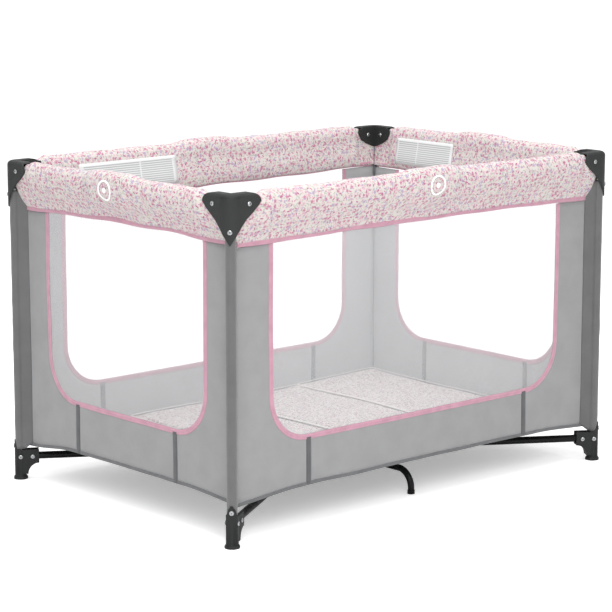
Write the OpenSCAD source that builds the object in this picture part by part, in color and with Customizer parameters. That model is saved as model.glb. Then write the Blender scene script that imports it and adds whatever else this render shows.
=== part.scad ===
// Travel play yard: four tube legs, folding top rails with centre latches,
// a centre hub with four floor tubes, fabric sides with mesh windows and a folding mattress pad.
// Millimetres, +Z up. The origin is on the floor, midway between the four legs.

/* [Overall] */
// Distance between the leg axes along the long sides
span_x = 1060; // [900:10:1200]
// Distance between the leg axes along the short sides
span_y = 720; // [640:10:800]
// Height of the corner tops
height = 700; // [600:10:800]

/* [Legs and feet] */
// Outside diameter of a leg tube
leg_d = 19; // [17:0.5:20]
// Diameter of the post of a foot
post_d = 25.5; // [24:0.5:28]
// Diameter of the flared base of a foot
base_d = 31; // [28:1:40]
// Height of the pivots of the floor tubes
fold_z = 50; // [48:1:60]
// Distance from a leg axis to the pivot of its floor tube
foot_pivot = 26; // [25:0.5:32]

/* [Top rails] */
// Outside diameter of a rail tube
rail_d = 22; // [19:0.5:22]
// Distance from a leg axis to the pivot of a rail
rail_pivot = 32.5; // [30:0.5:40]
// Depth of the rail pivots below the corner tops
rail_drop = 20; // [20:1:26]
// Half the distance between the two pivots of a centre latch
latch_half = 30; // [28:1:36]
// How far the rails lie outside the lines through the leg axes
rail_out = 3; // [2:0.5:4]
// Travel of a latch button
button_travel = 5; // [3:0.5:5]

/* [Corner shields] */
// Length of a shield wing from the leg axis
wing_len = 63; // [58:1:70]
// How far the outer face of a wing lies outside the leg axis
wing_out = 18.5; // [18:0.5:20]
// Radius of the rounded upright edge
shield_r = 29.5; // [28:0.5:30]
// Wall thickness of the moulded corner parts
shell = 3; // [2:0.5:3]
// Height of a shield from its pointed tip to its top
shield_h = 100; // [95:1:110]
// Radius of the corner shields' outer top edge
shield_edge = 9; // [5:0.5:9]

/* [Floor frame] */
// Outside diameter of a floor tube
floor_d = 16; // [14:0.5:16]
// Outside diameter of a support leg
support_d = 14; // [12:0.5:15]
// Distance from the centre to the tip of a support leg
support_reach = 302; // [250:2:310]
// Centre line radius of the bend in a support leg
support_bend = 38; // [30:1:45]

/* [Soft parts] */
// How far the fabric sides hang inside the lines through the leg axes
wall_in = 15.5; // [14:0.5:20]
// Height of the lower edge of the fabric sides
hem_z = 90; // [85:1:100]
// Height of the lower edge of the rail covers
cover_z = 590; // [560:5:600]
// Half width of the mesh windows in the long sides
window_x = 410; // [340:5:430]
// Half width of the mesh windows in the short sides
window_y = 258; // [200:2:270]
// Height of the lower edge of the mesh windows in the long sides
window_z = 193; // [180:1:240]
// Height of the lower edge of the mesh windows in the short sides
window_end_z = 203; // [180:1:240]
// Radius of the lower corners of the mesh windows
window_r = 90; // [40:5:120]
// Height of the underside of the mattress pad
pad_z = 87; // [86:1:92]
// Thickness of the mattress pad
pad_t = 15; // [12:1:25]
// Gap between the mattress pad and the fabric sides
pad_gap = 9; // [8:1:15]

/* [Hidden] */
$fn = 48;

// Every rivet is a steel pin with two low round heads.
pin_d = 6;
rivet_d = 4;
head_d = 9.4;
head_t = 2;
head_gap = 0.05;
bore_gap = 0.2;
open_gap = 1;
seat_gap = 0.4;
tube_wall = 1.3;
tube_play = 0.8;
pin_in = 0.5;

leg_x = span_x / 2;
leg_y = span_y / 2;
rail_z = height - rail_drop;

// A half rail turns about its leg pivot and its latch pivot. A floor tube has the same
// horizontal run along both sides, so all pivots stay in step while the frame folds.
half_x = leg_x - rail_pivot - latch_half;
half_y = leg_y - rail_pivot - latch_half;
floor_len = norm([half_x, half_y]);
floor_turn = atan2(half_y, half_x);
hub_x = leg_x - foot_pivot * cos(floor_turn) - half_x;
hub_y = leg_y - foot_pivot * sin(floor_turn) - half_y;

// Tubes run a little past their pivots.
rail_tail = 8;
floor_tail = 7;

// Foot
base_h = 8;
socket_z = 22;
post_top = 66;
tab_top = 87;
tab_rivet_z = 73;
tab_half = 8;
tab_root = post_top - 10;
tab_shoulder = post_top - 6;
tab_round_z = tab_rivet_z + 3;
clevis_len = 40;
clevis_lo = 36;
clevis_hi = 65;
slot_lo = 38.5;
slot_w = floor_d + tube_play;
clevis_w = 24;
foot_arc = 24;

// Corner parts
leg_top = height - 10;
socket_d = leg_d + 5;
socket_lo = height - 60;
shield_c = shield_r - wing_out;
end_r = rail_drop;
shield_rivet_z = height - 73;
edge_steps = 8;
cover_in = 12;
cover_len = 64;

// Centre latch
latch_w = 28;
latch_wall = 2.5;
latch_len = 42;
latch_top = rail_z + 17;
latch_bottom = rail_z - 13;
latch_plate = 18;
button_half = 12;
button_w = 20;
button_lip = 6;
button_edge = 2;

// Hub
hub_top = fold_z + 15;
hub_plate = 3.5;
hub_bottom = fold_z - 8;
hub_len = 12;
hub_cheek = 3;
hub_corner = 15;
support_x = 16;
support_y = 40;
tip_len = 8;
tip_d = support_d + 2;

// Soft parts
fabric_t = 1.6;
cover_gap = 2;
mesh_gap = 0.6;
sheet_gap = 2;
mesh_t = 0.8;
wall_from_leg = 27;
cover_t = 2.5;
cover_r = 21;
bulge_r = 27;
bulge_len = 60;
cover_end = wing_len + 6;
cover_turn = 80;
cover_steps = 6;
hem_t = 5;
hem_h = 12;
sheet_z = 84;
sheet_t = 1.5;
seam_gap = 0.5;
pad_r = 6;
pad_end = leg_x - wall_in - pad_gap - 5;
pad_seam = pad_end / 2;

// Moves a part drawn at the front left leg, with the leg axis as its z axis, +x and +y
// pointing inwards, to the leg on side sx, sy.
module at_leg(sx, sy) {
  translate([sx * leg_x, sy * leg_y, 0])
    mirror([sx > 0 ? 1 : 0, 0, 0])
      mirror([0, sy > 0 ? 1 : 0, 0])
        children();
}

// Repeats a part drawn on the +x side of a corner on its +y side.
module both_sides() {
  children();
  mirror([1, -1, 0]) children();
}

// Moves a part drawn for the front side, with x = 0 at its middle and y = 0 on the line
// through the leg axes, to one of the four sides.
module at_front() { translate([0, -leg_y, 0]) children(); }
module at_back() { translate([0, leg_y, 0]) mirror([0, 1, 0]) children(); }
module at_left() { translate([-leg_x, 0, 0]) mirror([1, -1, 0]) children(); }
module at_right() { translate([leg_x, 0, 0]) mirror([1, 0, 0]) mirror([1, -1, 0]) children(); }

// A cylinder from y = from to y = to at x, z.
module bar_y(x, z, from, to, d) {
  translate([x, to, z]) rotate([90, 0, 0]) cylinder(d = d, h = to - from);
}

// A round tube from x = from to x = to.
module tube_x(from, to, d) {
  translate([from, 0, 0]) rotate([0, 90, 0]) difference() {
    cylinder(d = d, h = to - from);
    translate([0, 0, -1]) cylinder(d = d - 2 * tube_wall, h = to - from + 2);
  }
}

// A low rivet head with a dimple, its flat face at z = 0.
module rivet_head() {
  difference() {
    rotate_extrude() polygon([
      [0, 0], [head_d / 2, 0], [head_d / 2, head_t * 0.4],
      [head_d * 0.36, head_t], [0, head_t]
    ]);
    translate([0, 0, head_t * 0.2]) cylinder(d = head_d * 0.34, h = head_t);
  }
}

// A rivet along y at x, z, with its heads just clear of the faces at y = from and y = to.
module rivet_y(x, z, from, to, d) {
  bar_y(x, z, from - pin_in, to + pin_in, d);
  translate([x, from - head_gap, z]) rotate([90, 0, 0]) rivet_head();
  translate([x, to + head_gap, z]) rotate([-90, 0, 0]) rivet_head();
}

// A rivet pointing outwards along the diagonal of a corner, its head at radius r.
module rivet_diagonal(z, r) {
  rotate([0, 0, 45]) translate([-r - head_gap, 0, z]) rotate([0, -90, 0]) {
    rivet_head();
    translate([0, 0, -r * 0.6]) cylinder(d = rivet_d, h = r * 0.6 + pin_in);
  }
}

module diagonal_bore(z) {
  rotate([0, 0, 45]) translate([-2 * leg_d, 0, z]) rotate([0, 90, 0])
    cylinder(d = rivet_d + 2 * bore_gap, h = leg_d * 2);
}

// ---- Legs and feet ----

// Bores and pins across the foot lie across the floor tube's direction.
module along_floor_tube() { rotate([0, 0, floor_turn]) children(); }

module leg_tube() {
  color("#8c8f92") difference() {
    translate([0, 0, socket_z]) cylinder(d = leg_d, h = leg_top - socket_z);
    translate([0, 0, socket_z - 1])
      cylinder(d = leg_d - 2 * tube_wall, h = leg_top - socket_z + 2);
    along_floor_tube() bar_y(0, fold_z, -leg_d, leg_d, rivet_d + 2 * bore_gap);
    diagonal_bore(tab_rivet_z);
    diagonal_bore(shield_rivet_z);
  }
}

// The web under the clevis: a quarter arc runs from the post out to the clevis end.
module foot_web() {
  difference() {
    translate([0, -clevis_w / 2, clevis_lo - foot_arc])
      cube([clevis_len, clevis_w, clevis_hi - clevis_lo + foot_arc]);
    translate([clevis_len, 0, clevis_lo - foot_arc])
      rotate([90, 0, 0]) cylinder(r = foot_arc, h = clevis_w + 2, center = true);
  }
}

// The outer tab is the part of the post wall inside a pointed outline.
module foot_tab() {
  shoulder = post_d / 2;
  intersection() {
    translate([0, 0, tab_root]) cylinder(d = post_d, h = tab_top - tab_root);
    rotate([0, 0, 45]) rotate([90, 0, -90]) linear_extrude(post_d) {
      polygon([
        [-shoulder, tab_root], [shoulder, tab_root], [shoulder, tab_shoulder],
        [tab_half, tab_round_z], [-tab_half, tab_round_z], [-shoulder, tab_shoulder]
      ]);
      translate([0, tab_round_z]) circle(r = tab_half);
      polygon([
        [-tab_half * 0.72, tab_round_z + 5], [tab_half * 0.72, tab_round_z + 5],
        [tab_half * 0.3, tab_top], [-tab_half * 0.3, tab_top]
      ]);
    }
  }
}

module foot() {
  color("#303132") difference() {
    union() {
      cylinder(d = base_d, h = base_h / 2);
      translate([0, 0, base_h / 2]) cylinder(d1 = base_d, d2 = post_d, h = base_h / 2);
      cylinder(d = post_d, h = post_top);
      foot_tab();
      along_floor_tube() foot_web();
    }
    translate([0, 0, socket_z]) cylinder(d = leg_d + seat_gap, h = tab_top);
    along_floor_tube() {
      translate([post_d / 2 + 1, -slot_w / 2, slot_lo])
        cube([clevis_len, slot_w, clevis_hi]);
      bar_y(0, fold_z, -clevis_w, clevis_w, rivet_d + 2 * bore_gap);
      bar_y(foot_pivot, fold_z, -clevis_w, clevis_w, pin_d + bore_gap);
    }
    diagonal_bore(tab_rivet_z);
  }
}

// ---- Corner parts ----

// Plan outline of the shield, its outer faces at distance out from the leg axis.
module shield_plan(out, reach) {
  translate([shield_c, shield_c]) circle(r = out + shield_c, $fn = 96);
  translate([shield_c, -out]) square([reach - shield_c, out + shield_c]);
  translate([-out, shield_c]) square([out + shield_c, reach - shield_c]);
}

// What is cut away below the pointed lower edge, seen along the diagonal.
module shield_lower_cut() {
  tip = height - shield_h;
  edge = [[0, 0], [13, 20], [22, 36], [31, 50], [43, 63], [52, 74], [58, 84]];
  below = [[80, 84], [80, -20], [-80, -20], [-80, 84]];
  left = [for (i = [len(edge) - 1 : -1 : 1]) [-edge[i][0], edge[i][1]]];
  rotate([0, 0, 45]) rotate([90, 0, -90]) translate([0, tip, 0])
    linear_extrude(2 * wing_len, center = true) polygon(concat(edge, below, left));
}

// What is cut away outside the rounded end of a wing.
module wing_end_cut() {
  x = wing_len - end_r;
  translate([0, leg_d, 0]) rotate([90, 0, 0]) linear_extrude(3 * wing_out) difference() {
    translate([x, rail_z]) square([end_r + 5, rail_drop + 5]);
    translate([x, rail_z]) circle(r = end_r, $fn = 96);
  }
}

// What lies outside a rounded edge of radius r between an outer face and a top face that
// meet at 0, 0.
module edge_profile(r) {
  arc = [for (i = [0 : edge_steps]) let (t = 90 * i / edge_steps) [r * sin(t) - r, r * cos(t) - r]];
  polygon(concat([[1, -r], [1, 1], [-r, 1]], arc));
}

// A block on the shield's plan whose outer top edge has radius r.
module shield_form(out, reach, bottom, top, r) {
  turn_r = out + shield_c;
  difference() {
    translate([0, 0, bottom]) linear_extrude(top - bottom) shield_plan(out, reach);
    both_sides() translate([shield_c, -out, top]) rotate([90, 0, 90])
      linear_extrude(reach) mirror([1, 0]) edge_profile(r);
    translate([shield_c, shield_c, top]) intersection() {
      rotate_extrude($fn = 96) translate([turn_r, 0]) edge_profile(r);
      translate([-2 * turn_r, -2 * turn_r, -turn_r]) cube(2 * turn_r);
    }
  }
}

module corner_shield() {
  low = height - shield_h;
  color("#464847") difference() {
    union() {
      difference() {
        shield_form(wing_out, wing_len, low, height, shield_edge);
        shield_form(wing_out - shell, wing_len + 5, low - 1, height - shell, shield_edge - shell);
        translate([cover_in - shell - bore_gap, cover_in - shell - bore_gap, low])
          cube([wing_len, wing_len, shield_h + 1]);
      }
      translate([0, 0, socket_lo]) cylinder(d = socket_d, h = leg_top + shell - socket_lo);
    }
    shield_lower_cut();
    both_sides() {
      wing_end_cut();
      bar_y(rail_pivot, rail_z, -2 * wing_out, 0, pin_d + bore_gap);
    }
    translate([0, 0, -1]) cylinder(d = leg_d + seat_gap, h = leg_top + 1.2);
    diagonal_bore(shield_rivet_z);
  }
}

module corner_cover() {
  top = height - 2;
  outline = [
    [cover_in - shell, rail_z - 31], [20, rail_z - 28], [38, rail_z - 21], [55, rail_z - 11],
    [cover_len - 2, rail_z + 1], [cover_len, rail_z + 8], [cover_len - 2, rail_z + 15],
    [cover_len - 7, top - 3], [cover_len - 14, top], [cover_in - shell, top]
  ];
  color("#3f4140") difference() {
    both_sides()
      translate([0, cover_in, 0]) rotate([90, 0, 0]) linear_extrude(shell) polygon(outline);
    both_sides() bar_y(rail_pivot, rail_z, 0, 2 * cover_in, pin_d + bore_gap);
  }
}

module leg_rivets() {
  color("#c4c6c8") {
    both_sides() rivet_y(rail_pivot, rail_z, -wing_out, cover_in, pin_d);
    rivet_diagonal(shield_rivet_z, shield_r - shield_c * sqrt(2));
    rivet_diagonal(tab_rivet_z, post_d / 2);
    along_floor_tube() {
      rivet_y(0, fold_z, -post_d / 2, post_d / 2, rivet_d);
      rivet_y(foot_pivot, fold_z, -clevis_w / 2, clevis_w / 2, pin_d);
    }
  }
}

// ---- Top rails ----

// The half rail on the left of a side, drawn as for the front. gap is the play in its bore
// at the leg.
module half_rail(leg_at, gap = bore_gap) {
  color("#7d8083") translate([0, -rail_out, rail_z]) difference() {
    tube_x(-leg_at + rail_pivot - rail_tail, -latch_half + rail_tail, rail_d);
    bar_y(-leg_at + rail_pivot, 0, -rail_d, rail_d, pin_d + gap);
    bar_y(-latch_half, 0, -rail_d, rail_d, pin_d + bore_gap);
  }
}

// The half rail on the right of a side has a looser bore at its leg.
module half_rail_right(leg_at) { mirror([1, 0, 0]) half_rail(leg_at, open_gap); }

// The latch housing is a channel open below, with the two half rails pinned in its ends.
// Its top plate is short, so that the half rails can turn up past it.
module latch() {
  inner_w = latch_w - 2 * latch_wall;
  translate([0, -rail_out, 0]) {
    color("#5a5c5e") difference() {
      translate([-latch_len, -latch_w / 2, latch_bottom])
        cube([2 * latch_len, latch_w, latch_top - latch_bottom]);
      translate([-latch_len - 1, -inner_w / 2, latch_bottom - 1])
        cube([2 * latch_len + 2, inner_w, latch_top - latch_wall - latch_bottom + 1]);
      for (s = [0, 1]) mirror([s, 0, 0]) translate([latch_plate, -inner_w / 2, latch_bottom])
        cube([latch_len, inner_w, latch_top]);
      for (s = [-1, 1]) bar_y(s * latch_half, rail_z, -latch_w, latch_w, pin_d + bore_gap);
    }
    color("#c4c6c8") for (s = [-1, 1])
      rivet_y(s * latch_half, rail_z, -latch_w / 2, latch_w / 2, pin_d);
  }
}

// The button is pressed up from below to free the two half rails.
module latch_button() {
  body_top = latch_top - latch_wall - button_travel - 1;
  color("#b9342f") translate([0, -rail_out, 0]) {
    translate([-button_half, -button_w / 2, latch_bottom])
      cube([2 * button_half, button_w, body_top - latch_bottom]);
    translate([-button_half + button_edge, -button_w / 2 + button_edge, latch_bottom - button_lip])
      cube([2 * (button_half - button_edge), button_w - 2 * button_edge, button_lip + 1]);
  }
}

// ---- Floor frame ----

// Drawn from the foot pivot towards the hub pivot of the front left leg.
module floor_tube() {
  color("#1c1d1e") along_floor_tube() translate([foot_pivot, 0, fold_z]) difference() {
    tube_x(-floor_tail, floor_len + floor_tail, floor_d);
    bar_y(0, 0, -floor_d, floor_d, pin_d + bore_gap);
    bar_y(floor_len, 0, -floor_d, floor_d, pin_d + bore_gap);
  }
}

// One fork of the hub: two cheeks under the plate, open below, along +x from its pivot.
module hub_fork(gap) {
  for (s = [-1, 1]) translate([-hub_len, s > 0 ? gap / 2 : -gap / 2 - hub_cheek, hub_bottom])
    cube([2 * hub_len, hub_cheek, hub_top - hub_bottom - 1]);
}

// Moves a fork to the hub end of the floor tube on side sx, sy.
module at_hub(sx, sy) {
  mirror([sx > 0 ? 1 : 0, 0, 0]) mirror([0, sy > 0 ? 1 : 0, 0])
    translate([-hub_x, -hub_y, 0]) along_floor_tube() children();
}

// Moves a fork to the pivot of the support leg on side sy; the fork then lies along y.
module at_support(sy) {
  translate([-sy * support_x, sy * support_y, 0]) rotate([0, 0, 90]) children();
}

module hub() {
  tube_gap = floor_d + tube_play;
  support_gap = support_d + tube_play;
  tube_out = tube_gap / 2 + hub_cheek;
  support_out = support_gap / 2 + hub_cheek;
  color("#262728") difference() {
    union() {
      for (sx = [-1, 1], sy = [-1, 1]) at_hub(sx, sy) hub_fork(tube_gap);
      for (sy = [-1, 1]) at_support(sy) hub_fork(support_gap);
      hub_plate_solid();
    }
    for (sx = [-1, 1], sy = [-1, 1]) at_hub(sx, sy)
      bar_y(0, fold_z, -floor_d, floor_d, pin_d + bore_gap);
    for (sy = [-1, 1]) at_support(sy)
      bar_y(0, fold_z, -floor_d, floor_d, pin_d + bore_gap);
  }
  color("#c4c6c8") {
    for (sx = [-1, 1], sy = [-1, 1]) at_hub(sx, sy)
      rivet_y(0, fold_z, -tube_out, tube_out, pin_d);
    for (sy = [-1, 1]) at_support(sy)
      rivet_y(0, fold_z, -support_out, support_out, pin_d);
  }
}

// A plate with rounded corners that joins all the forks.
module hub_plate_solid() {
  r = hub_corner;
  ax = hub_x - 4;
  ay = hub_y - 2;
  translate([0, 0, hub_top - hub_plate]) linear_extrude(hub_plate) {
    for (sx = [-1, 1], sy = [-1, 1]) translate([sx * ax, sy * ay]) circle(r = r);
    square([2 * (ax + r), 2 * ay], center = true);
    square([2 * ax, 2 * (ay + r)], center = true);
  }
}

// The front support leg: straight out from the hub, bent down to a rubber tip.
module support_leg() {
  straight = support_reach - support_bend;
  drop = fold_z - support_bend;
  color("#1c1d1e") translate([support_x, 0, 0]) {
    difference() {
      union() {
        translate([0, -support_y + 7, fold_z]) rotate([90, 0, 0])
          support_ring(straight - support_y + 7);
        translate([0, -straight, drop]) rotate([90, 0, -90])
          rotate_extrude(angle = 90) translate([support_bend, 0]) support_section();
        translate([0, -support_reach, 0]) support_ring(drop);
      }
      translate([-support_d, -support_y, fold_z]) rotate([0, 90, 0])
        cylinder(d = pin_d + bore_gap, h = 2 * support_d);
      translate([0, -support_reach, 0]) cylinder(d = tip_d + 1, h = tip_len + head_gap);
    }
    translate([0, -support_reach, 0]) cylinder(d = tip_d, h = tip_len);
  }
}

module support_section() {
  difference() {
    circle(d = support_d);
    circle(d = support_d - 2 * tube_wall);
  }
}

module support_ring(h) { linear_extrude(h) support_section(); }

// ---- Soft parts ----

// Outline of a mesh window, seen from outside: lower corners round, top straight.
module window_outline(half, bottom, inset) {
  r = window_r - inset;
  w = half - inset;
  low = bottom + inset;
  translate([-w, low + r]) square([2 * w, cover_z - cover_gap - inset - low - r]);
  translate([-w + r, low]) square([2 * (w - r), r + 1]);
  for (s = [-1, 1]) translate([s * (w - r), low + r]) circle(r = r, $fn = 96);
}

// A grey fabric side. Its window is open to the top edge, where the rail cover begins.
module side(leg_at, window, bottom) {
  half = leg_at - wall_from_leg;
  color("#a4a4a4") translate([0, wall_in + fabric_t / 2, 0]) rotate([90, 0, 0])
    linear_extrude(fabric_t) difference() {
      translate([-half, hem_z]) square([2 * half, cover_z - cover_gap - hem_z]);
      window_outline(window, bottom, 0);
      translate([-window, cover_z - 2 * cover_gap]) square([2 * window, 2 * cover_gap]);
    }
}

module mesh(window, bottom) {
  color("#e9e9e9") translate([0, wall_in + mesh_t / 2, 0]) rotate([90, 0, 0])
    linear_extrude(mesh_t) window_outline(window, bottom, mesh_gap);
}

// Outline of a rail cover's section: an arc of radius r over the rail, narrowing to its low
// edge. The first coordinate points inwards from the line through the leg axes.
function cover_arc(r) = [
  for (i = [-cover_steps : cover_steps]) let (t = 90 + i * cover_turn / cover_steps)
    [-rail_out + r * cos(t), rail_z + r * sin(t)]
];

// The tunnel wall: its outline less a smaller one of the same form.
module cover_ring(r) {
  low = [[wall_in - hem_t / 2, cover_z], [wall_in + hem_t / 2, cover_z]];
  difference() {
    polygon(concat(cover_arc(r), low));
    polygon(concat(cover_arc(r - cover_t), [[wall_in, cover_z + hem_h]]));
  }
}

// A rail cover bulges over the centre latch.
module rail_cover(leg_at) {
  run = leg_at - cover_end - bulge_len;
  color("#e9dde0") rotate([90, 0, 90]) {
    for (s = [0, 1]) mirror([0, 0, s])
      translate([0, 0, bulge_len]) linear_extrude(run) cover_ring(cover_r);
    translate([0, 0, -bulge_len]) linear_extrude(2 * bulge_len) cover_ring(bulge_r);
  }
}

module floor_sheet() {
  x = leg_x - wall_in - sheet_gap;
  y = leg_y - wall_in - sheet_gap;
  color("#8e8e8e") translate([-x, -y, sheet_z]) cube([2 * x, 2 * y, sheet_t]);
}

// One mattress panel between two places along x, with rounded upright corners.
module pad_panel(from, to) {
  half = leg_y - wall_in - pad_gap;
  color("#e9dde0") translate([0, 0, pad_z]) linear_extrude(pad_t) {
    translate([from, -half + pad_r]) square([to - from, 2 * (half - pad_r)]);
    translate([from + pad_r, -half]) square([to - from - 2 * pad_r, 2 * half]);
    for (x = [from + pad_r, to - pad_r], s = [-1, 1])
      translate([x, s * (half - pad_r)]) circle(r = pad_r);
  }
}

at_leg(-1, -1) leg_tube();  // leg_tube_fl
at_leg(1, -1) leg_tube();  // leg_tube_fr
at_leg(-1, 1) leg_tube();  // leg_tube_bl
at_leg(1, 1) leg_tube();  // leg_tube_br
at_leg(-1, -1) foot();  // foot_fl
at_leg(1, -1) foot();  // foot_fr
at_leg(-1, 1) foot();  // foot_bl
at_leg(1, 1) foot();  // foot_br
at_leg(-1, -1) corner_shield();  // corner_shield_fl
at_leg(1, -1) corner_shield();  // corner_shield_fr
at_leg(-1, 1) corner_shield();  // corner_shield_bl
at_leg(1, 1) corner_shield();  // corner_shield_br
at_leg(-1, -1) corner_cover();  // corner_cover_fl
at_leg(1, -1) corner_cover();  // corner_cover_fr
at_leg(-1, 1) corner_cover();  // corner_cover_bl
at_leg(1, 1) corner_cover();  // corner_cover_br
at_leg(-1, -1) leg_rivets();  // leg_rivets_fl
at_leg(1, -1) leg_rivets();  // leg_rivets_fr
at_leg(-1, 1) leg_rivets();  // leg_rivets_bl
at_leg(1, 1) leg_rivets();  // leg_rivets_br
at_front() half_rail(leg_x);  // rail_front_l
at_front() half_rail_right(leg_x);  // rail_front_r
at_back() half_rail(leg_x);  // rail_back_l
at_back() half_rail_right(leg_x);  // rail_back_r
at_left() half_rail(leg_y);  // rail_left_f
at_left() half_rail_right(leg_y);  // rail_left_b
at_right() half_rail(leg_y);  // rail_right_f
at_right() half_rail_right(leg_y);  // rail_right_b
at_front() latch();  // latch_front
at_back() latch();  // latch_back
at_left() latch();  // latch_left
at_right() latch();  // latch_right
at_front() latch_button();  // latch_button_front
at_back() latch_button();  // latch_button_back
at_left() latch_button();  // latch_button_left
at_right() latch_button();  // latch_button_right
at_leg(-1, -1) floor_tube();  // floor_tube_fl
at_leg(1, -1) floor_tube();  // floor_tube_fr
at_leg(-1, 1) floor_tube();  // floor_tube_bl
at_leg(1, 1) floor_tube();  // floor_tube_br
hub();
support_leg();  // support_leg_front
rotate([0, 0, 180]) support_leg();  // support_leg_back
at_front() side(leg_x, window_x, window_z);  // side_front
at_back() side(leg_x, window_x, window_z);  // side_back
at_left() side(leg_y, window_y, window_end_z);  // side_left
at_right() side(leg_y, window_y, window_end_z);  // side_right
at_front() mesh(window_x, window_z);  // mesh_front
at_back() mesh(window_x, window_z);  // mesh_back
at_left() mesh(window_y, window_end_z);  // mesh_left
at_right() mesh(window_y, window_end_z);  // mesh_right
at_front() rail_cover(leg_x);  // rail_cover_front
at_back() rail_cover(leg_x);  // rail_cover_back
at_left() rail_cover(leg_y);  // rail_cover_left
at_right() rail_cover(leg_y);  // rail_cover_right
floor_sheet();
pad_panel(-pad_seam + seam_gap, -seam_gap);  // pad_left
pad_panel(-pad_end, -pad_seam - seam_gap);  // pad_left_end
pad_panel(seam_gap, pad_seam - seam_gap);  // pad_right
pad_panel(pad_seam + seam_gap, pad_end);  // pad_right_end
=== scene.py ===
import math
from types import SimpleNamespace

import bmesh
import bpy
import numpy as np
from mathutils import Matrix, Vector


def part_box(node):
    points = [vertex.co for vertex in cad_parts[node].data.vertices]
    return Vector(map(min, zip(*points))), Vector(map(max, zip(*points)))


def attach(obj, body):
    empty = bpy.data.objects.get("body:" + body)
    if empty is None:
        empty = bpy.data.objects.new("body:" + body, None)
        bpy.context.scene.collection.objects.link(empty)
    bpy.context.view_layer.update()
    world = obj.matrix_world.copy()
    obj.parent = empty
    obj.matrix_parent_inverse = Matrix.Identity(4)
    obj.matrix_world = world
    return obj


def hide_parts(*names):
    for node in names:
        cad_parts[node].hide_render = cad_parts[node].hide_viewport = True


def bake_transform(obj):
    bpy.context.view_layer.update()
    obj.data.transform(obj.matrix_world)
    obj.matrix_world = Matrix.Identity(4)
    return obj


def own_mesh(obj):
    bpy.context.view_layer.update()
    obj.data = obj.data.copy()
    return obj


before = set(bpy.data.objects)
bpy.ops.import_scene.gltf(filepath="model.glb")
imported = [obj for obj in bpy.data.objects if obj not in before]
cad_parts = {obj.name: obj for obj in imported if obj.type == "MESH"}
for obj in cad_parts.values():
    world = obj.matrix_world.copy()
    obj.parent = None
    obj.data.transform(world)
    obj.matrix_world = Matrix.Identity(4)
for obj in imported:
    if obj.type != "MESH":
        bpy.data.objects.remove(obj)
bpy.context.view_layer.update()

MM = 0.001

# ---- Places taken from the frame ----

leg_lo, leg_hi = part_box("leg_tube_fl")
LEG_R = (leg_hi.x - leg_lo.x) / 2
LEG_X = -(leg_lo.x + leg_hi.x) / 2
LEG_Y = -(leg_lo.y + leg_hi.y) / 2
rail_lo, rail_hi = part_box("rail_front_l")
RAIL_R = (rail_hi.z - rail_lo.z) / 2
RAIL_Z = (rail_lo.z + rail_hi.z) / 2
RAIL_D = (rail_lo.y + rail_hi.y) / 2 + LEG_Y
LATCH_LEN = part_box("latch_front")[1].x
SHIELD_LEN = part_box("corner_shield_fl")[1].x + LEG_X
wall_lo, wall_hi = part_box("side_front")
WALL_D = (wall_lo.y + wall_hi.y) / 2 + LEG_Y
WALL_FROM_LEG = LEG_X - wall_hi.x
HEM_Z = wall_lo.z
COVER_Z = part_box("rail_cover_front")[0].z
SHEET_LO, SHEET_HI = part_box("floor_sheet")
# How far the frame's mesh stops short of its window, and the radius of a window's corners.
MESH_INSET = 0.6 * MM
WINDOW_R = 90 * MM

# Bodies, directions and lengths of the four sides. s runs along a side, d inwards from the
# line through the leg axes. A side's keep holds FOLDED_X or FOLDED_Y, the share of its length
# it would keep in the fold, and nothing reads it.
FOLDED_X = 0.2101
FOLDED_Y = 0.26


def side(name, half, origin, along, inward, leg, halves, keep):
    net_lo, net_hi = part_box("mesh_" + name)
    return SimpleNamespace(
        name=name,
        seed=len(name),
        half=half,
        origin=np.array(origin),
        along=np.array(along, float),
        inward=np.array(inward, float),
        leg=leg,
        rails=halves,
        latch="latch_" + name,
        keep=keep,
        window=net_hi.dot(Vector(along)) + MESH_INSET,
        low=net_lo.z - MESH_INSET,
    )


SIDES = [
    side("front", LEG_X, (0, -LEG_Y, 0), (1, 0, 0), (0, 1, 0), "leg_fl",
         ("rail_front_l", "rail_front_r"), FOLDED_X),
    side("back", LEG_X, (0, LEG_Y, 0), (1, 0, 0), (0, -1, 0), "leg_bl",
         ("rail_back_l", "rail_back_r"), FOLDED_X),
    side("left", LEG_Y, (-LEG_X, 0, 0), (0, 1, 0), (1, 0, 0), "leg_fl",
         ("rail_left_f", "rail_left_b"), FOLDED_Y),
    side("right", LEG_Y, (LEG_X, 0, 0), (0, 1, 0), (-1, 0, 0), "leg_fr",
         ("rail_right_f", "rail_right_b"), FOLDED_Y),
]


def on_side(where, s, d, z):
    """World points from places along, inwards and up on a side."""
    s, d, z = np.broadcast_arrays(s, d, z)
    points = where.origin + s[..., None] * where.along + d[..., None] * where.inward
    points[..., 2] = z
    return points


# ---- Mesh helpers ----

# How square a ribbon's section is, across it and through its thickness.
RIBBON_FLAT = 0.45
RIBBON_DEEP = 0.6


def smooth_step(x, low, high):
    t = np.clip((x - low) / (high - low), 0, 1)
    return t * t * (3 - 2 * t)


def waves(a, b, seed, size, amount):
    """A smooth uneven field over two coordinates, the same for the same seed."""
    rng = np.random.default_rng(seed)
    total = np.zeros(np.broadcast(a, b).shape)
    for _ in range(7):
        turn = rng.uniform(0, math.tau)
        length = size * rng.uniform(0.7, 1.5)
        phase = rng.uniform(0, math.tau)
        total += np.sin(math.tau * (a * math.cos(turn) + b * math.sin(turn)) / length + phase)
    return total * amount / math.sqrt(7)


def link(piece):
    bpy.context.scene.collection.objects.link(piece)
    return piece


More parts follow.
